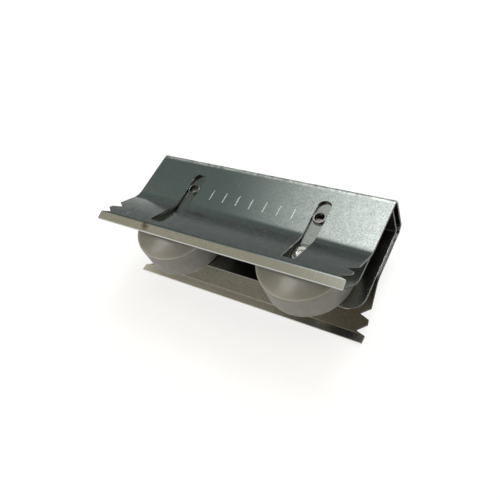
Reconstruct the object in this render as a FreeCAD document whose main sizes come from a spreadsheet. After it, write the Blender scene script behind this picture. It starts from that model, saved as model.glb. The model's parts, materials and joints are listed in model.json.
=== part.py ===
import FreeCAD, Part
import math
import os
import Sketcher

# Sliding door roller: a flared sheet-steel case around a sheet-steel carrier
# with two nylon wheels on ball bearings. Millimetres.
# Frame: X runs along the roller, +Y points at the closed back (web) of the case,
# the wheels look out towards -Y, and Z runs across, parallel to the wheel axles.
# Origin: centre of the web's outer face.

doc = FreeCAD.newDocument("sliding_door_roller")
sheet = doc.addObject("Spreadsheet::Sheet", "dims")

DIMENSIONS = {
    # outer case
    "case_length": 78.0,
    "case_width": 13.0,
    "case_sheet": 0.7,
    "side_depth": 18.0,       # web's outer face to the bend where the sides flare
    "flare_depth": 30.8,      # web's outer face to the fold of the lip
    "flare_angle": 34.5,
    "lip_depth": 33.4,        # web's outer face to the lip's free edge
    "lip_angle": -10.0,
    "web_bend": 1.5,          # outer radius of the bends beside the web
    "flare_bend": 6.0,        # outer-face radius where the sides turn into the flares
    "lip_bend": 1.1,
    # slots in the case
    "slot_spacing": 42.6,
    "slot_width": 4.15,
    "slot_top": 5.4,
    "slot_bottom": 28.9,
    "slot_lean": 1.0,         # sideways run of the slots between the bend and their ends
    "slot_corner": 0.8,
    # plain pressed strokes between the slots
    "mark_count": 7,
    "mark_pitch": 4.6,
    "mark_width": 0.38,
    "mark_top": 9.9,
    "mark_bottom": 13.6,
    "mark_depth": 0.12,
    # barbs at both ends of the flares
    "barb_depth": 2.9,
    "barb_one_start": 24.3,
    "barb_one_root": 26.4,
    "barb_one_end": 27.4,
    "barb_two_start": 28.1,
    "barb_two_root": 30.3,
    "barb_two_end": 31.2,
    "barb_overrun": 0.4,
    # inner carrier
    "carrier_length": 77.0,
    "carrier_width": 11.3,
    "carrier_sheet": 0.7,
    "carrier_top": 2.2,       # web's outer face of the case to that of the carrier
    "carrier_bottom": 29.1,
    "carrier_bend": 1.2,
    "carrier_corner": 4.6,
    "collar_depth": 10.9,
    "collar_outer": 1.95,
    "collar_bore": 1.4,
    "collar_height": 0.75,
    "boss_outer": 3.9,
    "boss_inner": 3.2,
    "boss_height": 0.25,
    # wheels
    "axle_spacing": 42.6,
    "axle_depth": 23.0,
    "wheel_radius": 13.0,
    "wheel_width": 9.0,
    "wheel_edge": 0.3,
    "wheel_opening": 5.6,
    "opening_edge": 0.4,
    # ball bearing
    "race_outer": 6.5,
    "race_outer_bore": 5.25,
    "race_inner": 3.3,
    "race_bore": 2.0,
    "race_width": 5.0,
    "ball_radius": 1.19,
    "ball_gap": 0.05,
    "ball_pitch": 4.275,
    "ball_count": 7,
    "cage_thickness": 0.9,
    "cage_width": 3.4,
    "pocket_gap": 0.12,
    "shield_thickness": 0.25,
    "shield_inset": 0.1,
    "shield_gap": 0.2,
    # axle and spacers
    "axle_radius": 1.98,
    "spacer_radius": 3.0,
    "head_radius": 2.5,
    "head_height": 1.0,
    "head_edge": 0.4,
    "head_dimple": 1.1,
    "head_dimple_depth": 0.3,
}

for row, (alias, value) in enumerate(DIMENSIONS.items(), start=1):
    sheet.set(f"A{row}", alias)
    sheet.set(f"B{row}", str(value))
    sheet.setAlias(f"B{row}", alias)
doc.recompute()

SIDES = {"left": -1, "right": 1}
LEVELS = {"up": 1, "down": -1}


def number(expression):
    """Value of an expression in the sheet's dimensions."""
    value = sheet.evalExpression(expression)
    return float(getattr(value, "Value", value))


def new_body(label):
    body = doc.addObject("PartDesign::Body", label)
    body.Label = label
    return body


def new_sketch(body, name, plane_role):
    """Empty sketch on one of the body's own origin planes."""
    sketch = body.newObject("Sketcher::SketchObject", name)
    planes = [item for item in body.Origin.OriginFeatures if item.Role == plane_role]
    sketch.AttachmentSupport = [(planes[0], "")]
    sketch.MapMode = "FlatFace"
    return sketch


def pin_point(sketch, geometry, vertex, across, along):
    """Fix one sketch point at two dimension expressions."""
    kinds = (("DistanceX", across, -2), ("DistanceY", along, -1))
    for kind, expression, axis in kinds:
        if expression == "0":
            sketch.addConstraint(Sketcher.Constraint("PointOnObject", geometry, vertex, axis))
            continue
        constraint = Sketcher.Constraint(kind, -1, 1, geometry, vertex, number(expression))
        index = sketch.addConstraint(constraint)
        sketch.setExpression(f"Constraints[{index}]", expression)


def draw_polygon(sketch, points):
    """Closed polygon whose corners are pairs of dimension expressions."""
    corners = [FreeCAD.Vector(number(x), number(y), 0) for x, y in points]
    first = sketch.GeometryCount
    count = len(corners)
    for index in range(count):
        line = Part.LineSegment(corners[index], corners[(index + 1) % count])
        sketch.addGeometry(line, False)
    for index in range(count):
        follower = first + (index + 1) % count
        sketch.addConstraint(Sketcher.Constraint("Coincident", first + index, 2, follower, 1))
    for index, (across, along) in enumerate(points):
        pin_point(sketch, first + index, 1, across, along)


def draw_circle(sketch, across, along, radius):
    """Circle with its centre and radius bound to dimension expressions."""
    centre = FreeCAD.Vector(number(across), number(along), 0)
    circle = Part.Circle(centre, FreeCAD.Vector(0, 0, 1), number(radius))
    geometry = sketch.addGeometry(circle, False)
    pin_point(sketch, geometry, 3, across, along)
    index = sketch.addConstraint(Sketcher.Constraint("Radius", geometry, number(radius)))
    sketch.setExpression(f"Constraints[{index}]", radius)


def pad_along(body, sketch, name, length):
    """Pad that grows equally to both sides of its sketch."""
    pad = body.newObject("PartDesign::Pad", name)
    pad.Profile = sketch
    pad.Midplane = True
    pad.setExpression("Length", length)
    sketch.Visibility = False
    doc.recompute()
    return pad


def pocket_cut(body, sketch, name, depth=None):
    """Pocket of a given depth, or through everything on both sides of its sketch."""
    before = body.Shape.Volume
    pocket = body.newObject("PartDesign::Pocket", name)
    pocket.Profile = sketch
    if depth is None:
        pocket.Type = "ThroughAll"
        pocket.Midplane = True
    else:
        pocket.setExpression("Length", depth)
    sketch.Visibility = False
    doc.recompute()
    if body.Shape.Volume >= before:
        raise RuntimeError(f"{name} removed nothing")
    return pocket


def edges_at(shape, direction, places, tolerance=0.02):
    """Names of the straight edges along a direction whose middles lie at given places."""
    found = []
    for index, edge in enumerate(shape.Edges, start=1):
        if edge.Curve.TypeId != "Part::GeomLine":
            continue
        run = edge.Vertexes[-1].Point - edge.Vertexes[0].Point
        if run.cross(direction).Length > tolerance * run.Length:
            continue
        middle = (edge.Vertexes[-1].Point + edge.Vertexes[0].Point) * 0.5
        for place in places:
            offset = middle - place
            offset -= direction * offset.dot(direction)
            if offset.Length < tolerance:
                found.append(f"Edge{index}")
    return found


def round_edges(body, name, direction, places, radius):
    """Fillet on the edges found at the given places."""
    base = body.Tip
    names = edges_at(base.Shape, direction, places)
    if not names:
        raise RuntimeError(f"{name}: no edges found")
    fillet = body.newObject("PartDesign::Fillet", name)
    fillet.Base = (base, names)
    fillet.setExpression("Radius", radius)
    doc.recompute()
    return fillet


def turned_body(label, outline, centre_x, centre_y):
    """Solid of revolution about its own Z axis, placed in the XY plane."""
    body = new_body(label)
    sketch = new_sketch(body, f"{label}_outline", "XZ_Plane")
    draw_polygon(sketch, outline)
    doc.recompute()
    turned = body.newObject("PartDesign::Revolution", f"{label}_turned")
    turned.Profile = sketch
    turned.ReferenceAxis = (sketch, ["V_Axis"])
    turned.Angle = 360.0
    sketch.Visibility = False
    body.setExpression("Placement.Base.x", centre_x)
    body.setExpression("Placement.Base.y", centre_y)
    doc.recompute()
    return body


X_AXIS = FreeCAD.Vector(1, 0, 0)
Z_AXIS = FreeCAD.Vector(0, 0, 1)

HALF = "dims.case_width / 2"
FLARE_RISE = "(dims.flare_depth - dims.side_depth) * tan(dims.flare_angle * 1 deg)"
LIP_RISE = "(dims.lip_depth - dims.flare_depth) * tan(dims.lip_angle * 1 deg)"
LIP_SLOPE_SHEET = "dims.case_sheet / cos(dims.lip_angle * 1 deg)"


def case_profile():
    """Half outlines of the case in (y, z): outer corners and inner corners."""
    fold = f"({HALF} + {FLARE_RISE})"
    edge = f"({HALF} + {FLARE_RISE} + {LIP_RISE})"
    outer = [
        ("0", f"{HALF}"),
        ("-dims.side_depth", f"{HALF}"),
        ("-dims.flare_depth", fold),
        ("-dims.lip_depth", edge),
    ]
    bend_shift = "dims.case_sheet * tan(dims.flare_angle / 2 * 1 deg)"
    mean_angle = "(dims.flare_angle + dims.lip_angle) / 2 * 1 deg"
    miter = "(dims.case_sheet / cos((dims.flare_angle - dims.lip_angle) / 2 * 1 deg))"
    inner = [
        ("-dims.lip_depth", f"{edge} - {LIP_SLOPE_SHEET}"),
        (f"-dims.flare_depth - {miter} * sin({mean_angle})",
         f"{fold} - {miter} * cos({mean_angle})"),
        (f"-dims.side_depth - {bend_shift}", f"{HALF} - dims.case_sheet"),
        ("-dims.case_sheet", f"{HALF} - dims.case_sheet"),
    ]
    return outer, inner


def below(points):
    """The same corners mirrored to negative z."""
    return [(y, f"-({z})") for y, z in points]


def place_of(point):
    """Corner of a YZ outline as a vector, with x left at zero."""
    return FreeCAD.Vector(0, number(point[0]), number(point[1]))


def build_case():
    body = new_body("outer_case")
    profile = new_sketch(body, "case_profile", "YZ_Plane")
    outer, inner = case_profile()
    outline = outer + inner + below(inner)[::-1] + below(outer)[::-1]
    draw_polygon(profile, outline)
    pad_along(body, profile, "case_channel", "dims.case_length")

    def both(points):
        return [place_of(point) for point in points + below(points)]

    round_edges(body, "web_outer_bends", X_AXIS, both([outer[0]]), "dims.web_bend")
    round_edges(body, "web_inner_bends", X_AXIS, both([inner[3]]),
                "dims.web_bend - dims.case_sheet")
    round_edges(body, "flare_outer_bends", X_AXIS, both([outer[1]]), "dims.flare_bend")
    round_edges(body, "flare_inner_bends", X_AXIS, both([inner[2]]),
                "dims.flare_bend + dims.case_sheet")
    round_edges(body, "lip_outer_bends", X_AXIS, both([outer[2]]), "dims.lip_bend")
    round_edges(body, "lip_inner_bends", X_AXIS, both([inner[1]]),
                "dims.lip_bend - dims.case_sheet")

    slots = new_sketch(body, "guide_slots", "XY_Plane")
    for sign in SIDES.values():
        left = f"{sign} * dims.slot_spacing / 2 - dims.slot_width / 2"
        right = f"{sign} * dims.slot_spacing / 2 + dims.slot_width / 2"
        top = "-dims.slot_top - dims.slot_width / 2"
        draw_polygon(slots, [
            (left, top), (right, top), (right, "-dims.side_depth"),
            (f"{right} + dims.slot_lean", "-dims.slot_bottom"),
            (f"{left} + dims.slot_lean", "-dims.slot_bottom"),
            (left, "-dims.side_depth"),
        ])
    pocket_cut(body, slots, "slot_cut")
    slot_ends = new_sketch(body, "guide_slot_tops", "XY_Plane")
    for sign in SIDES.values():
        centre = f"{sign} * dims.slot_spacing / 2"
        draw_circle(slot_ends, centre, "-dims.slot_top - dims.slot_width / 2",
                    "dims.slot_width / 2")
    pocket_cut(body, slot_ends, "slot_top_cut")
    slot_corners = [
        FreeCAD.Vector(
            number(f"{sign} * dims.slot_spacing / 2 + {edge} * dims.slot_width / 2")
            + number("dims.slot_lean"), -number("dims.slot_bottom"), 0)
        for sign in SIDES.values() for edge in (-1, 1)
    ]
    round_edges(body, "slot_bottom_corners", Z_AXIS, slot_corners, "dims.slot_corner")

    barbs = new_sketch(body, "barb_notches", "XY_Plane")
    for sign in SIDES.values():
        mouth = f"{sign} * (dims.case_length / 2 + dims.barb_overrun)"
        root = f"{sign} * (dims.case_length / 2 - dims.barb_depth)"
        for barb in ("barb_one", "barb_two"):
            draw_polygon(barbs, [
                (mouth, f"-dims.{barb}_start"),
                (root, f"-dims.{barb}_root"),
                (mouth, f"-dims.{barb}_end"),
            ])
    pocket_cut(body, barbs, "barb_cut")
    press_marks(body)
    return body


def press_marks(body):
    """Row of plain strokes pressed a little way into the upper side."""
    sketch = new_sketch(body, "plain_strokes", "XY_Plane")
    sketch.setExpression("AttachmentOffset.Base.z", HALF)
    for index in range(int(number("dims.mark_count"))):
        centre = f"({index} - (dims.mark_count - 1) / 2) * dims.mark_pitch"
        draw_polygon(sketch, [
            (f"{centre} - dims.mark_width / 2", "-dims.mark_top"),
            (f"{centre} + dims.mark_width / 2", "-dims.mark_top"),
            (f"{centre} + dims.mark_width / 2", "-dims.mark_bottom"),
            (f"{centre} - dims.mark_width / 2", "-dims.mark_bottom"),
        ])
    doc.recompute()
    pocket_cut(body, sketch, "stroke_cut", "dims.mark_depth")


def build_carrier():
    body = new_body("inner_carrier")
    profile = new_sketch(body, "carrier_profile", "YZ_Plane")
    half = "dims.carrier_width / 2"
    inner = f"({half} - dims.carrier_sheet)"
    web = "-dims.carrier_top"
    web_inside = "-dims.carrier_top - dims.carrier_sheet"
    edge = "-dims.carrier_bottom"
    draw_polygon(profile, [
        (web, half), (edge, half), (edge, inner), (web_inside, inner),
        (web_inside, f"-{inner}"), (edge, f"-{inner}"), (edge, f"-({half})"),
        (web, f"-({half})"),
    ])
    pad_along(body, profile, "carrier_channel", "dims.carrier_length")

    def both(point):
        return [place_of(point), place_of(below([point])[0])]

    round_edges(body, "carrier_outer_bends", X_AXIS, both((web, half)), "dims.carrier_bend")
    round_edges(body, "carrier_inner_bends", X_AXIS, both((web_inside, inner)),
                "dims.carrier_bend - dims.carrier_sheet")
    corner_x = number("dims.carrier_length / 2")
    corner_y = number(edge)
    corners = [FreeCAD.Vector(sign * corner_x, corner_y, 0) for sign in SIDES.values()]
    round_edges(body, "side_corners", Z_AXIS, corners, "dims.carrier_corner")

    for level, sign in LEVELS.items():
        face = f"{sign} * {half}"
        raised = (
            ("collars", "dims.collar_depth", "dims.collar_outer", "dims.collar_height"),
            ("bosses", "dims.axle_depth", "dims.boss_outer", "dims.boss_height"),
        )
        for name, depth, radius, height in raised:
            sketch = new_sketch(body, f"{name}_{level}", "XY_Plane")
            sketch.setExpression("AttachmentOffset.Base.z", face)
            for side in SIDES.values():
                draw_circle(sketch, f"{side} * dims.axle_spacing / 2", f"-{depth}", radius)
                if name == "bosses":
                    draw_circle(sketch, f"{side} * dims.axle_spacing / 2", f"-{depth}",
                                "dims.boss_inner")
            doc.recompute()
            pad = body.newObject("PartDesign::Pad", f"{name}_{level}_pad")
            pad.Profile = sketch
            pad.setExpression("Length", height)
            pad.Reversed = sign < 0
            sketch.Visibility = False
            doc.recompute()

    holes = new_sketch(body, "carrier_holes", "XY_Plane")
    for side in SIDES.values():
        across = f"{side} * dims.axle_spacing / 2"
        draw_circle(holes, across, "-dims.collar_depth", "dims.collar_bore")
        draw_circle(holes, across, "-dims.axle_depth", "dims.race_bore")
    pocket_cut(body, holes, "carrier_holes_cut")
    return body


def build_tyre(side, centre_x, centre_y):
    half = "dims.wheel_width / 2"
    race = "dims.race_width / 2"
    upper = [
        ("dims.wheel_radius", f"{half} - dims.wheel_edge"),
        ("dims.wheel_radius - dims.wheel_edge", half),
        ("dims.wheel_opening + dims.opening_edge", half),
        ("dims.wheel_opening", f"{half} - dims.opening_edge"),
        ("dims.wheel_opening", race),
        ("dims.race_outer", race),
    ]
    lower = [(radius, f"-({level})") for radius, level in upper]
    return turned_body(f"tyre_{side}", upper + lower[::-1], centre_x, centre_y)


def build_axle(side, centre_x, centre_y):
    plate = "dims.carrier_width / 2"
    top = f"{plate} + dims.head_height"
    upper = [
        ("dims.axle_radius", plate),
        ("dims.head_radius", plate),
        ("dims.head_radius", f"{top} - dims.head_edge"),
        ("dims.head_radius - dims.head_edge", top),
        ("dims.head_dimple", top),
        ("dims.head_dimple - dims.head_dimple_depth", f"{top} - dims.head_dimple_depth"),
        ("0", f"{top} - dims.head_dimple_depth"),
    ]
    lower = [(radius, f"-({level})") for radius, level in upper]
    return turned_body(f"axle_{side}", upper + lower[::-1], centre_x, centre_y)


def build_spacer(name, sign, centre_x, centre_y):
    bottom = "dims.race_width / 2"
    top = "dims.carrier_width / 2 - dims.carrier_sheet"
    outline = [
        ("dims.race_bore", f"{sign} * ({bottom})"),
        ("dims.spacer_radius", f"{sign} * ({bottom})"),
        ("dims.spacer_radius", f"{sign} * ({top})"),
        ("dims.race_bore", f"{sign} * ({top})"),
    ]
    return turned_body(name, outline, centre_x, centre_y)


def build_shield(name, sign, centre_x, centre_y):
    top = "dims.race_width / 2 - dims.shield_inset"
    bottom = f"{top} - dims.shield_thickness"
    rim = "dims.race_inner + dims.shield_gap"
    outline = [
        (rim, f"{sign} * ({bottom})"),
        ("dims.race_outer_bore", f"{sign} * ({bottom})"),
        ("dims.race_outer_bore", f"{sign} * ({top})"),
        (rim, f"{sign} * ({top})"),
    ]
    return turned_body(name, outline, centre_x, centre_y)


def cylinder(name, radius, height):
    """Cylinder centred on the middle plane, sized by dimension expressions."""
    item = doc.addObject("Part::Cylinder", name)
    item.setExpression("Radius", radius)
    item.setExpression("Height", height)
    item.setExpression("Placement.Base.z", f"-({height}) / 2")
    return item


def cut(name, base, tool):
    item = doc.addObject("Part::Cut", name)
    item.Base = base
    item.Tool = tool
    return item


def place_at(item, label, centre_x, centre_y):
    item.Label = label
    item.setExpression("Placement.Base.x", centre_x)
    item.setExpression("Placement.Base.y", centre_y)
    doc.recompute()
    return item


def build_race(name, outer_radius, bore_radius, centre_x, centre_y):
    """Bearing ring with its ball groove."""
    ring = cut(f"{name}_ring",
               cylinder(f"{name}_blank", outer_radius, "dims.race_width"),
               cylinder(f"{name}_bore", bore_radius, "dims.race_width + 1"))
    groove = doc.addObject("Part::Torus", f"{name}_groove")
    groove.setExpression("Radius1", "dims.ball_pitch")
    groove.setExpression("Radius2", "dims.ball_radius + dims.ball_gap")
    return place_at(cut(f"{name}_cut", ring, groove), name, centre_x, centre_y)


def around(index, radius):
    """Expressions for one ball's place on a circle about the bearing's axis."""
    turn = f"{index} * 360 deg / dims.ball_count"
    return f"({radius}) * cos({turn})", f"({radius}) * sin({turn})"


def ball_set(name):
    """Balls of one bearing, evenly spread on the pitch circle."""
    balls = []
    for index in range(int(number("dims.ball_count"))):
        ball = doc.addObject("Part::Sphere", f"{name}_ball")
        across, along = around(index, "dims.ball_pitch")
        ball.setExpression("Radius", "dims.ball_radius")
        ball.setExpression("Placement.Base.x", across)
        ball.setExpression("Placement.Base.y", along)
        balls.append(ball)
    compound = doc.addObject("Part::Compound", f"{name}_set")
    compound.Links = balls
    return compound


def pocket_set(name):
    """Round radial pockets of one cage, one for each ball."""
    count = int(number("dims.ball_count"))
    pockets = []
    for index in range(count):
        pocket = doc.addObject("Part::Cylinder", f"{name}_pocket")
        angle = 2 * math.pi * index / count
        outward = FreeCAD.Vector(math.cos(angle), math.sin(angle), 0)
        pocket.Placement.Rotation = FreeCAD.Rotation(Z_AXIS, outward)
        across, along = around(index, "dims.ball_pitch - dims.cage_thickness")
        pocket.setExpression("Placement.Base.x", across)
        pocket.setExpression("Placement.Base.y", along)
        pocket.setExpression("Radius", "dims.ball_radius + dims.pocket_gap")
        pocket.setExpression("Height", "2 * dims.cage_thickness")
        pockets.append(pocket)
    compound = doc.addObject("Part::Compound", f"{name}_set")
    compound.Links = pockets
    return compound


def build_bearing(side, centre_x, centre_y):
    outer = build_race(f"outer_race_{side}", "dims.race_outer", "dims.race_outer_bore",
                       centre_x, centre_y)
    inner = build_race(f"inner_race_{side}", "dims.race_inner", "dims.race_bore",
                       centre_x, centre_y)
    balls = place_at(ball_set(f"balls_{side}"), f"balls_{side}", centre_x, centre_y)
    band = cut(f"cage_band_{side}",
               cylinder(f"cage_blank_{side}", "dims.ball_pitch + dims.cage_thickness / 2",
                        "dims.cage_width"),
               cylinder(f"cage_bore_{side}", "dims.ball_pitch - dims.cage_thickness / 2",
                        "dims.cage_width + 1"))
    cage = place_at(cut(f"cage_cut_{side}", band, pocket_set(f"pockets_{side}")),
                    f"cage_{side}", centre_x, centre_y)
    shields = [build_shield(f"shield_{level}_{side}", sign, centre_x, centre_y)
               for level, sign in LEVELS.items()]
    return [outer, inner, balls, cage] + shields


def build_wheel(side):
    """Everything on one wheel axle, the axle included."""
    centre_x = f"{SIDES[side]} * dims.axle_spacing / 2"
    centre_y = "-dims.axle_depth"
    pieces = [build_tyre(side, centre_x, centre_y), build_axle(side, centre_x, centre_y)]
    pieces += [build_spacer(f"spacer_{level}_{side}", sign, centre_x, centre_y)
               for level, sign in LEVELS.items()]
    return pieces + build_bearing(side, centre_x, centre_y)


nodes = [build_case(), build_carrier()]
for wheel_side in SIDES:
    nodes += build_wheel(wheel_side)
doc.recompute()

for item in doc.Objects:
    if "Invalid" in item.State or "Error" in item.State:
        raise RuntimeError(f"{item.Label} failed: {item.State}")
for node in nodes:
    if node.Shape.isNull() or not node.Shape.isValid():
        raise RuntimeError(f"{node.Label} has no valid shape")

os.makedirs("parts", exist_ok=True)
for node in nodes:
    node.Shape.exportStep(f"parts/{node.Label}.step")
    box = node.Shape.BoundBox
    print(f"{node.Label:18s} solids {len(node.Shape.Solids)} volume {node.Shape.Volume:9.2f}"
          f"  x {box.XMin:.2f}..{box.XMax:.2f} y {box.YMin:.2f}..{box.YMax:.2f}"
          f" z {box.ZMin:.2f}..{box.ZMax:.2f}")
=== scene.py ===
"""Sliding door roller: looks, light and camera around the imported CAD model."""
import json
import math

import bmesh
import bpy
from mathutils import Matrix, Vector


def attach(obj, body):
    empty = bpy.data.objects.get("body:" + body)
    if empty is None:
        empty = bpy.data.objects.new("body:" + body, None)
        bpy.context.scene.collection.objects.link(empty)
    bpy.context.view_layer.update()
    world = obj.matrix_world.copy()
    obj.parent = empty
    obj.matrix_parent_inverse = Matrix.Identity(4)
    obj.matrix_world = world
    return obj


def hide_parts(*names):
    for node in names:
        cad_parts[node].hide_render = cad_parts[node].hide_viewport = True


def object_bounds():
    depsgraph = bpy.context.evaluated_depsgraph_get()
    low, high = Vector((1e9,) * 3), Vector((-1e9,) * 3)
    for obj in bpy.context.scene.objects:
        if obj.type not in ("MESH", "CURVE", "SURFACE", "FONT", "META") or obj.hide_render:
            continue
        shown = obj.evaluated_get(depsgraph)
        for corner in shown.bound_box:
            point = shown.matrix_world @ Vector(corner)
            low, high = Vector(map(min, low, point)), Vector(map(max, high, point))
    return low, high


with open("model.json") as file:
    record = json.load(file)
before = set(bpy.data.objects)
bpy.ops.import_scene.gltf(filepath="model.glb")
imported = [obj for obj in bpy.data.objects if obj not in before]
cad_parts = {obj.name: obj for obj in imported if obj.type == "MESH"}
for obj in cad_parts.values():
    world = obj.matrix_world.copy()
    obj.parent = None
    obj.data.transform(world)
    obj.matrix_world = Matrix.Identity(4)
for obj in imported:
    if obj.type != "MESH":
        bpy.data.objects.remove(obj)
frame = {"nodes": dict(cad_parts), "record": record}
cad_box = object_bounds()
scene = bpy.context.scene
nodes = frame["nodes"]

MM = 0.001
SIDES = ("left", "right")


# ---------------------------------------------------------------- node helpers

class Tree:
    """Short way to add and link the nodes of one material or world."""

    def __init__(self, tree):
        self.tree = tree

    def add(self, kind, inputs=(), **settings):
        """New node; an input value may be a number, a tuple or another node's socket."""
        node = self.tree.nodes.new(kind)
        for name, value in settings.items():
            setattr(node, name, value)
        for name, value in dict(inputs).items():
            self.feed(node.inputs[name], value)
        return node

    def feed(self, socket, value):
        if isinstance(value, bpy.types.NodeSocket):
            self.tree.links.new(value, socket)
        else:
            socket.default_value = value

    def math(self, operation, first, second=0.0):
        node = self.add("ShaderNodeMath", {0: first, 1: second}, operation=operation)
        return node.outputs[0]

    def ramp(self, factor, stops, smooth=True):
        """Colour ramp from (position, grey or colour) stops."""
        node = self.add("ShaderNodeValToRGB", {"Fac": factor})
        ramp = node.color_ramp
        ramp.interpolation = "EASE" if smooth else "LINEAR"
        while len(ramp.elements) < len(stops):
            ramp.elements.new(0.5)
        for element, (place, colour) in zip(ramp.elements, stops):
            element.position = place
            if not isinstance(colour, tuple):
                colour = (colour, colour, colour)
            element.color = (*colour, 1.0)
        return node.outputs["Color"]

    def noise(self, vector, scale, detail=2.0, rough=0.5):
        node = self.add("ShaderNodeTexNoise", {
            "Vector": vector, "Scale": scale, "Detail": detail, "Roughness": rough})
        return node.outputs["Fac"]

    def stretch(self, vector, factors):
        node = self.add("ShaderNodeMapping", {"Vector": vector, "Scale": factors})
        return node.outputs["Vector"]

    def mix(self, factor, first, second, blend="MIX"):
        node = self.add("ShaderNodeMix", data_type="RGBA", blend_type=blend)
        self.feed(node.inputs["Factor"], factor)
        self.feed(node.inputs[6], first)
        self.feed(node.inputs[7], second)
        return node.outputs[2]

    def span(self, value, low, high, to_low=0.0, to_high=1.0):
        """Smooth step from to_low at low to to_high at high."""
        node = self.add("ShaderNodeMapRange", {
            "Value": value, "From Min": low, "From Max": high,
            "To Min": to_low, "To Max": to_high}, interpolation_type="SMOOTHSTEP")
        return node.outputs["Result"]


def new_material(name):
    """Material with a Principled shader, its tree and the object's own coordinates."""
    mat = bpy.data.materials.new(name)
    mat.use_nodes = True
    mat.node_tree.nodes.clear()
    tree = Tree(mat.node_tree)
    shader = tree.add("ShaderNodeBsdfPrincipled")
    output = tree.add("ShaderNodeOutputMaterial")
    mat.node_tree.links.new(shader.outputs["BSDF"], output.inputs["Surface"])
    place = tree.add("ShaderNodeTexCoord").outputs["Object"]
    return mat, tree, shader, place


# ---------------------------------------------------------------- materials

WHEEL_X, WHEEL_Y = 21.3 * MM, -23.0 * MM  # axle of the +X wheel; the other is its mirror image
TREAD_RADIUS = 13.0 * MM
# heights of the painted highlight along the rims of the tyre faces
NYLON_HIGHLIGHT_Z = (4.0 * MM, 4.2 * MM)
STROKE_Y = (-13.7 * MM, -9.8 * MM)
STROKE_Z = (6.30 * MM, 6.45 * MM)  # the strokes' floors lie just under the outer face
RIDGE_Y = (-2.3 * MM, -1.3 * MM)
RIDGE_Z = (5.0 * MM, 5.5 * MM)
LOWER_FLARE_Z = -6.0 * MM
LOWER_FLARE_Y = (-16.5 * MM, -18.5 * MM)
FLARE_SHADE_X = (4.0 * MM, 36.0 * MM)   # painted shade: the lower flare's inside darkens towards +X
LIP_LIGHT_X = (32.0 * MM, 4.0 * MM)  # and its lip is painted paler and less metallic towards -X: painted light
LOWER_LIP_Y = (-30.6 * MM, -31.0 * MM)
UPPER_LIP_Y = -30.8 * MM
# place and reach of a small brown mark painted on the upper lip's edge
BROWN_MARK_PLACE = (-21.5 * MM, -31.9 * MM, 15.1 * MM)
BROWN_MARK_REACH = (3.0 * MM, 1.4 * MM)


def cut_edges(tree, base, rough):
    """Sheared faces, square to the sheet and facing along it, are dark and dull: partly bare
    cut steel, partly painted shade.
    """
    facing = tree.add("ShaderNodeTexCoord").outputs["Normal"]
    axis = tree.add("ShaderNodeSeparateXYZ", {"Vector": facing}).outputs
    upright = tree.span(tree.math("ABSOLUTE", axis["Z"]), 0.45, 0.15)
    endways = tree.span(tree.math("ABSOLUTE", axis["X"]), 0.2, 0.4)
    sheared = tree.math("MULTIPLY", upright, endways)
    # painted shade: sheared faces are painted nearly black, darker than bare cut steel
    base = tree.mix(tree.math("MULTIPLY", sheared, 0.9), base, (0.035, 0.034, 0.031, 1.0))
    return base, tree.math("ADD", rough, tree.math("MULTIPLY", sheared, 0.2))


def plated_steel(name, colour, roughness, mottle=0.12, grain=0.06, seed=0.0,
                 grain_axes=(40.0, 900.0, 900.0), features=None):
    """Zinc-plated sheet: crystalline mottle, fine speckle, faint rolling grain, scratches."""
    mat, tree, shader, place = new_material(name)
    shifted = tree.add("ShaderNodeVectorMath", {0: place, 1: (seed, seed * 0.7, seed * 1.3)},
                       operation="ADD").outputs[0]
    broad = tree.noise(shifted, 160.0, 3.0, 0.6)
    fine = tree.noise(shifted, 1500.0, 2.0, 0.65)
    speckle = tree.noise(shifted, 2600.0, 1.0, 0.5)
    crystal = tree.add("ShaderNodeTexVoronoi", {"Vector": shifted, "Scale": 900.0},
                       feature="F1").outputs["Color"]
    crystal = tree.add("ShaderNodeSeparateColor", {"Color": crystal}).outputs[0]
    rolled = tree.noise(tree.stretch(shifted, grain_axes), 1.0, 3.0, 0.6)

    shade = tree.math("MULTIPLY", tree.math("SUBTRACT", broad, 0.5), 0.9 * mottle)
    for layer, weight in ((fine, 0.9 * mottle), (speckle, 1.9 * mottle),
                          (crystal, 0.3 * mottle), (rolled, grain)):
        part = tree.math("MULTIPLY", tree.math("SUBTRACT", layer, 0.5), 2.0 * weight)
        shade = tree.math("ADD", shade, part)
    value = tree.math("ADD", shade, 1.0)
    grey = tree.add("ShaderNodeCombineColor", {0: value, 1: value, 2: value}).outputs[0]
    base = tree.mix(1.0, (*colour, 1.0), grey, "MULTIPLY")
    rough = tree.math("ADD", roughness, tree.math("MULTIPLY", shade, -0.35))
    scratches = tree.noise(tree.stretch(shifted, (2500.0, 120.0, 700.0)), 1.0, 2.0, 0.5)
    scratch = tree.span(scratches, 0.70, 0.76)
    rough = tree.math("ADD", rough, tree.math("MULTIPLY", scratch, 0.10))
    base, rough = cut_edges(tree, base, rough)
    shader.inputs["Metallic"].default_value = 1.0
    if features:
        base, rough = features(tree, shader, place, base, rough)
    tree.feed(shader.inputs["Base Color"], base)
    tree.feed(shader.inputs["Roughness"], rough)
    height = tree.math("ADD", tree.math("MULTIPLY", tree.math("ADD", fine, speckle), 0.4),
                       tree.math("MULTIPLY", rolled, 0.2))
    height = tree.math("SUBTRACT", height, tree.math("MULTIPLY", scratch, 0.4))
    bump = tree.add("ShaderNodeBump", {"Height": height, "Strength": 0.4,
                                       "Distance": 5e-5 * mottle})
    tree.feed(shader.inputs["Normal"], bump.outputs["Normal"])
    return mat


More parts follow.
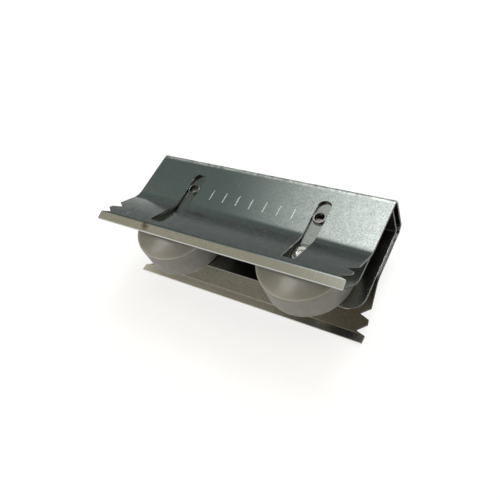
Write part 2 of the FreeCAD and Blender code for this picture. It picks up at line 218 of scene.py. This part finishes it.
def nylon(name, seed):
    """Natural nylon: milky and slightly cloudy, with painted shade darkening the tread and a
    painted highlight on the faces' rims.
    """
    mat, tree, shader, place = new_material(name)
    shifted = tree.add("ShaderNodeVectorMath", {0: place, 1: (seed, seed, 0.0)},
                       operation="ADD").outputs[0]
    cloud = tree.noise(shifted, 110.0, 3.0, 0.55)
    speck = tree.noise(shifted, 1400.0, 2.0, 0.6)
    # noise for the patches of painted shade on the tread, and for the bump
    patch_noise = tree.noise(shifted, 420.0, 3.0, 0.55)
    base = tree.ramp(cloud, ((0.30, (0.53, 0.515, 0.475)), (0.70, (0.60, 0.585, 0.545))))
    dust = tree.span(speck, 0.66, 0.74)
    base = tree.mix(tree.math("MULTIPLY", dust, 0.25), base, (0.42, 0.40, 0.36, 1.0))
    axis = tree.add("ShaderNodeSeparateXYZ", {"Vector": place}).outputs
    across = tree.math("SUBTRACT", tree.math("ABSOLUTE", axis["X"]), WHEEL_X)
    along = tree.math("SUBTRACT", axis["Y"], WHEEL_Y)
    radius = tree.math("SQRT", tree.math("ADD", tree.math("MULTIPLY", across, across),
                                         tree.math("MULTIPLY", along, along)))
    # painted highlight: a thin pale line painted along the rim of each tyre face
    rim_highlight = tree.math("MULTIPLY", tree.span(radius, TREAD_RADIUS - 0.35 * MM,
                                          TREAD_RADIUS - 0.2 * MM),
                    tree.span(tree.math("ABSOLUTE", axis["Z"]), *NYLON_HIGHLIGHT_Z))
    base = tree.mix(tree.math("MULTIPLY", rim_highlight, 0.3), base, (0.80, 0.79, 0.76, 1.0))
    # painted shade: the tread is painted darker, in noisy patches
    tread = tree.span(radius, TREAD_RADIUS - 0.15 * MM, TREAD_RADIUS - 0.03 * MM)
    tread_shade = tree.math("MULTIPLY", tread, tree.span(patch_noise, 0.25, 0.75, 0.85, 1.0))
    base = tree.mix(tread_shade, base, (0.22, 0.213, 0.192, 1.0))
    tree.feed(shader.inputs["Base Color"], base)
    tree.feed(shader.inputs["Roughness"],
              tree.math("ADD", 0.46, tree.math("MULTIPLY", cloud, 0.16)))
    shader.inputs["Subsurface Weight"].default_value = 0.6
    shader.inputs["Subsurface Radius"].default_value = (1.0, 0.95, 0.85)
    shader.inputs["Subsurface Scale"].default_value = 2.2 * MM
    shader.inputs["IOR"].default_value = 1.53
    shader.inputs["Specular IOR Level"].default_value = 0.35
    height = tree.math("ADD", tree.math("MULTIPLY", patch_noise, 0.6),
                       tree.math("MULTIPLY", speck, 0.4))
    bump = tree.add("ShaderNodeBump", {"Height": height, "Strength": 0.2, "Distance": 6e-6})
    tree.feed(shader.inputs["Normal"], bump.outputs["Normal"])
    return mat


def case_features(tree, shader, place, base, rough):
    """Rubbed strokes, painted highlight on the back ridges, a duller lower flare with painted
    shade towards +X and a painted pale lip, an even upper lip with a brown mark.
    """
    axis = tree.add("ShaderNodeSeparateXYZ", {"Vector": place}).outputs
    stroke_floor = tree.math("LESS_THAN", axis["Z"], STROKE_Z[1])
    in_plate = tree.math("GREATER_THAN", axis["Z"], STROKE_Z[0])
    in_row = tree.math("MULTIPLY", tree.math("GREATER_THAN", axis["Y"], STROKE_Y[0]),
                       tree.math("LESS_THAN", axis["Y"], STROKE_Y[1]))
    rubbed = tree.math("MULTIPLY", tree.math("MULTIPLY", stroke_floor, in_plate), in_row)
    base = tree.mix(rubbed, base, (0.66, 0.67, 0.65, 1.0))
    rough = tree.math("ADD", rough, tree.math("MULTIPLY", rubbed, 0.2))

    height = tree.math("ABSOLUTE", axis["Z"])
    # painted highlight: the back ridges are painted pale, in patches
    ridge = tree.math("MULTIPLY", tree.span(axis["Y"], *RIDGE_Y),
                      tree.span(height, *RIDGE_Z))
    patch_noise = tree.span(tree.noise(place, 700.0, 3.0, 0.6), 0.35, 0.6)
    base = tree.mix(tree.math("MULTIPLY", ridge, patch_noise), base, (0.88, 0.90, 0.88, 1.0))
    rough = tree.math("ADD", rough, tree.math("MULTIPLY", ridge, 0.22))

    facing = tree.add("ShaderNodeTexCoord").outputs["Normal"]
    facing = tree.add("ShaderNodeSeparateXYZ", {"Vector": facing}).outputs["Z"]
    inside = tree.math("MULTIPLY", tree.math("GREATER_THAN", facing, 0.0),
                       tree.math("LESS_THAN", axis["Z"], LOWER_FLARE_Z))
    inside = tree.math("MULTIPLY", inside, tree.span(axis["Y"], *LOWER_FLARE_Y))
    base = tree.mix(tree.math("MULTIPLY", inside, 0.75), base, (0.24, 0.23, 0.19, 1.0))
    # painted shade: the lower flare's inside is painted darker towards +X
    flare_shade = tree.math("MULTIPLY", inside, tree.span(axis["X"], *FLARE_SHADE_X, 0.0, 0.75))
    base = tree.mix(flare_shade, base, (0.055, 0.042, 0.026, 1.0))
    # painted light: the lower lip is painted pale and made less metallic, most towards -X
    lip = tree.math("MULTIPLY", inside, tree.span(axis["Y"], *LOWER_LIP_Y))
    lip = tree.math("MULTIPLY", lip, tree.span(axis["X"], *LIP_LIGHT_X, 0.15, 1.0))
    rough = tree.math("ADD", rough, tree.math("ADD", tree.math("MULTIPLY", inside, 0.14),
                                              tree.math("MULTIPLY", lip, 0.2)))
    tree.feed(shader.inputs["Metallic"],
              tree.math("SUBTRACT", 1.0, tree.math("MULTIPLY", lip, 0.75)))
    base = tree.mix(lip, base, (0.84, 0.82, 0.74, 1.0))

    upper_lip = tree.math("MULTIPLY", tree.math("LESS_THAN", axis["Y"], UPPER_LIP_Y),
                          tree.math("GREATER_THAN", axis["Z"], 0.0))
    base = tree.mix(tree.math("MULTIPLY", upper_lip, 0.65), base, (0.47, 0.50, 0.485, 1.0))
    # a small brown mark, darker and rougher, on the upper lip's edge over the -X wheel
    offset = tree.add("ShaderNodeVectorMath", {0: place, 1: BROWN_MARK_PLACE},
                      operation="DISTANCE").outputs["Value"]
    ragged = tree.noise(place, 900.0, 3.0, 0.6)
    reach = tree.math("ADD", offset, tree.math("MULTIPLY", ragged, 2.4 * MM))
    brown_mark = tree.span(reach, *BROWN_MARK_REACH)
    base = tree.mix(tree.math("MULTIPLY", brown_mark, 0.8), base, (0.13, 0.085, 0.055, 1.0))
    rough = tree.math("ADD", rough, tree.math("MULTIPLY", brown_mark, 0.15))
    return base, rough


MATERIALS = {
    "case_steel": plated_steel("case_steel", (0.48, 0.51, 0.495), 0.14, mottle=0.26,
                               seed=0.0, features=case_features),
    "carrier_steel": plated_steel("carrier_steel", (0.33, 0.34, 0.325), 0.20, mottle=0.1,
                                  seed=0.31),
    "nylon": nylon("nylon", 0.13),
    "axle_steel": plated_steel("axle_steel", (0.62, 0.62, 0.60), 0.26, mottle=0.08,
                               seed=0.52, grain_axes=(700.0, 700.0, 60.0)),
    "bearing_steel": plated_steel("bearing_steel", (0.66, 0.66, 0.66), 0.14, mottle=0.04,
                                  seed=0.77, grain_axes=(60.0, 60.0, 2200.0)),
    "cage_steel": plated_steel("cage_steel", (0.55, 0.54, 0.51), 0.32, mottle=0.10, seed=0.91),
    "shield_steel": plated_steel("shield_steel", (0.56, 0.57, 0.57), 0.28, mottle=0.06,
                                 seed=1.13, grain_axes=(500.0, 500.0, 60.0)),
}
SLOT_OF = {part["node"]: part["material_slot"] for part in frame["record"]["subparts"]}


# ---------------------------------------------------------------- pieces

def body_of(node):
    """Name of the body that a CAD node belongs to."""
    for body, members in frame["record"]["behaviour"]["bodies"].items():
        if node in members:
            return body
    raise KeyError(node)


def keep_cad_node(node):
    """Give a CAD node the material of its own slot."""
    for slot in nodes[node].material_slots:
        slot.material = MATERIALS[SLOT_OF[node]]


def stand_in(mesh, name, node):
    """Object from a mesh that replaces one CAD node and rides on its body."""
    piece = bpy.data.objects.new(name, mesh)
    scene.collection.objects.link(piece)
    mesh.materials.clear()
    mesh.materials.append(MATERIALS[SLOT_OF[node]])
    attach(piece, body_of(node))
    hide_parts(node)
    return piece


def apply_modifiers(piece):
    """Put the piece's modifiers into its mesh."""
    graph = bpy.context.evaluated_depsgraph_get()
    mesh = bpy.data.meshes.new_from_object(piece.evaluated_get(graph))
    piece.modifiers.clear()
    piece.data = mesh


SHARP_EDGE = math.radians(28.0)
FLAT_EDGE = math.radians(0.5)
CASE_ROUND, CARRIER_ROUND, WHEEL_ROUND = 0.09 * MM, 0.08 * MM, 0.12 * MM


def softened_copy(node, name, width, segments=2):
    """Replace a CAD node with a copy whose cut edges carry a fine worn round."""
    source = bmesh.new()
    source.from_mesh(nodes[node].data)
    bmesh.ops.remove_doubles(source, verts=source.verts, dist=1e-6)
    bmesh.ops.dissolve_limit(source, angle_limit=FLAT_EDGE, verts=source.verts,
                             edges=source.edges, delimit=set())
    sharp = [edge for edge in source.edges if len(edge.link_faces) == 2
             and edge.calc_face_angle() > SHARP_EDGE]
    bmesh.ops.bevel(source, geom=sharp, offset=width, offset_type="OFFSET",
                    segments=segments, profile=0.5, affect="EDGES", clamp_overlap=True)
    for face in source.faces:
        face.smooth = True
    mesh = bpy.data.meshes.new(name)
    source.to_mesh(mesh)
    source.free()
    piece = stand_in(mesh, name, node)
    weighted = piece.modifiers.new("weighted", "WEIGHTED_NORMAL")
    weighted.mode = "FACE_AREA"
    weighted.weight = 80
    apply_modifiers(piece)


softened_copy("outer_case", "case_shell", CASE_ROUND)
softened_copy("inner_carrier", "carrier_shell", CARRIER_ROUND)
replaced = {"outer_case", "inner_carrier"}
for side in SIDES:
    for part in ("tyre", "axle"):
        node = f"{part}_{side}"
        softened_copy(node, f"{node}_soft", WHEEL_ROUND, 3)
        replaced.add(node)
for node in nodes:
    if node not in replaced:
        keep_cad_node(node)


# ---------------------------------------------------------------- camera

CAMERA_PLACE = (0.08072, -0.08381, 0.12308)
CAMERA_RIGHT = (0.8386, 0.4521, -0.3039)
CAMERA_UP = (-0.2353, 0.8038, 0.5465)
CAMERA_LENS_MM = 39.89
SENSOR_MM = 36.0


def add_camera():
    """Camera at the photograph's angle, from its place and two of its axes."""
    data = bpy.data.cameras.new("camera")
    data.lens = CAMERA_LENS_MM
    data.sensor_width = SENSOR_MM
    data.clip_start = 0.001
    camera = bpy.data.objects.new("camera", data)
    scene.collection.objects.link(camera)
    right = Vector(CAMERA_RIGHT).normalized()
    back = right.cross(Vector(CAMERA_UP)).normalized()
    up = back.cross(right)
    turn = Matrix((right, up, back)).transposed()
    camera.matrix_world = Matrix.Translation(CAMERA_PLACE) @ turn.to_4x4()
    scene.camera = camera


# ---------------------------------------------------------------- floor and light

FLOOR_SIZE = 3.0
FLOOR_GAP = 0.2 * MM  # between the floor and the part's lowest edge
FLOOR_GLOW = 0.74
FLOOR_CENTRE = (-0.09, 0.01, 0.0)
FLOOR_FADE = (0.30, 0.21)  # distances from the centre where the pale floor ends and is whole
FLOOR_FADE_BEHIND = (0.155, 0.115)  # the same along +Y: the flare mirrors what is behind

# The surround's colour runs along Y, from in front of the part (0) to behind it (1).
WORLD_STOPS = (
    (0.18, (0.46, 0.43, 0.37)),    # in front of the part
    (0.45, (0.58, 0.50, 0.36)),    # overhead
    (0.58, (0.50, 0.46, 0.37)),
    (0.70, (0.14, 0.175, 0.165)),  # behind the part
    (1.00, (0.10, 0.125, 0.12)),
)
LOW_NEUTRAL = (0.1, 0.6, 0.45, 1.0)  # the surround loses its tint near the horizon
RIGHT_DIM = (0.0, 0.6, 1.0, 0.40)  # from where to where the right side dims, and how far
KEY_DIRECTION = (0.15, 0.50, 0.85)
KEY_TARGET = (0.0, -17.0 * MM, 0.0)
KEY_COLOUR = (1.0, 1.0, 0.98)
KEY_HALO = 2.0
KEY_HALO_EDGE, KEY_HALO_CORE = 0.74, 1.0  # cosines of the angle from the key's direction
KEY_DISTANCE = 0.55
KEY_SIZE = 0.13
KEY_WATTS = 0.5


def add_floor():
    """Round pale floor just under the part, which fades out into the surround."""
    low = cad_box[0]
    bpy.ops.mesh.primitive_plane_add(size=FLOOR_SIZE, location=(0, 0, low[2] - FLOOR_GAP))
    floor = bpy.context.object
    floor.name = "floor"
    mat, tree, shader, place = new_material("floor")
    paper = tree.noise(place, 60.0, 3.0, 0.5)
    pale = tree.ramp(paper, ((0.2, 0.36), (0.8, 0.38)))
    reach = tree.add("ShaderNodeVectorMath", {0: place, 1: FLOOR_CENTRE},
                     operation="DISTANCE").outputs["Value"]
    tree.feed(shader.inputs["Base Color"], pale)
    behind = tree.add("ShaderNodeSeparateXYZ", {"Vector": place}).outputs["Y"]
    tree.feed(shader.inputs["Alpha"], tree.math("MINIMUM", tree.span(reach, *FLOOR_FADE),
                                                tree.span(behind, *FLOOR_FADE_BEHIND)))
    shader.inputs["Roughness"].default_value = 0.9
    shader.inputs["Specular IOR Level"].default_value = 0.1
    shader.inputs["Emission Color"].default_value = (1.0, 1.0, 1.0, 1.0)
    shader.inputs["Emission Strength"].default_value = FLOOR_GLOW
    floor.data.materials.append(mat)


def halo(tree, direction, centre, edge, core, strength):
    """Light that fades smoothly from a centre direction to nothing at its edge."""
    near = tree.add("ShaderNodeVectorMath",
                    {0: direction, 1: tuple(Vector(centre).normalized())},
                    operation="DOT_PRODUCT").outputs["Value"]
    return tree.span(near, edge, core, 0.0, strength)


def add_world():
    """Soft studio surround: warm overhead, dim and green behind, one broad soft light."""
    world = bpy.data.worlds.new("studio")
    world.use_nodes = True
    world.node_tree.nodes.clear()
    tree = Tree(world.node_tree)
    direction = tree.add("ShaderNodeTexCoord").outputs["Generated"]
    axis = tree.add("ShaderNodeSeparateXYZ", {"Vector": direction}).outputs
    across = tree.math("ADD", tree.math("MULTIPLY", axis["Y"], 0.5), 0.5)
    surround = tree.ramp(across, WORLD_STOPS, smooth=False)
    surround = tree.add("ShaderNodeHueSaturation", {
        "Color": surround, "Saturation": tree.span(axis["Z"], *LOW_NEUTRAL)}).outputs["Color"]
    glow = halo(tree, direction, KEY_DIRECTION, KEY_HALO_EDGE, KEY_HALO_CORE, KEY_HALO)
    light = tree.add("ShaderNodeVectorMath", {0: KEY_COLOUR, "Scale": glow},
                     operation="SCALE").outputs[0]
    dimmed = tree.add("ShaderNodeVectorMath",
                      {0: surround, "Scale": tree.span(axis["X"], *RIGHT_DIM)},
                      operation="SCALE").outputs[0]
    total = tree.add("ShaderNodeVectorMath", {0: dimmed, 1: light}, operation="ADD").outputs[0]
    background = tree.add("ShaderNodeBackground", {"Color": total, "Strength": 1.0})
    output = tree.add("ShaderNodeOutputWorld")
    world.node_tree.links.new(background.outputs[0], output.inputs["Surface"])
    scene.world = world


def add_key():
    """The soft key lamp in the middle of its halo."""
    data = bpy.data.lights.new("key", "AREA")
    data.shape = "DISK"
    data.size = KEY_SIZE
    data.energy = KEY_WATTS
    data.color = KEY_COLOUR
    lamp = bpy.data.objects.new("key", data)
    scene.collection.objects.link(lamp)
    towards = Vector(KEY_DIRECTION).normalized()
    lamp.location = Vector(KEY_TARGET) + towards * KEY_DISTANCE
    lamp.rotation_euler = (-towards).to_track_quat("-Z", "Y").to_euler()


add_camera()
add_floor()
add_world()
add_key()
scene.view_settings.view_transform = "Standard"
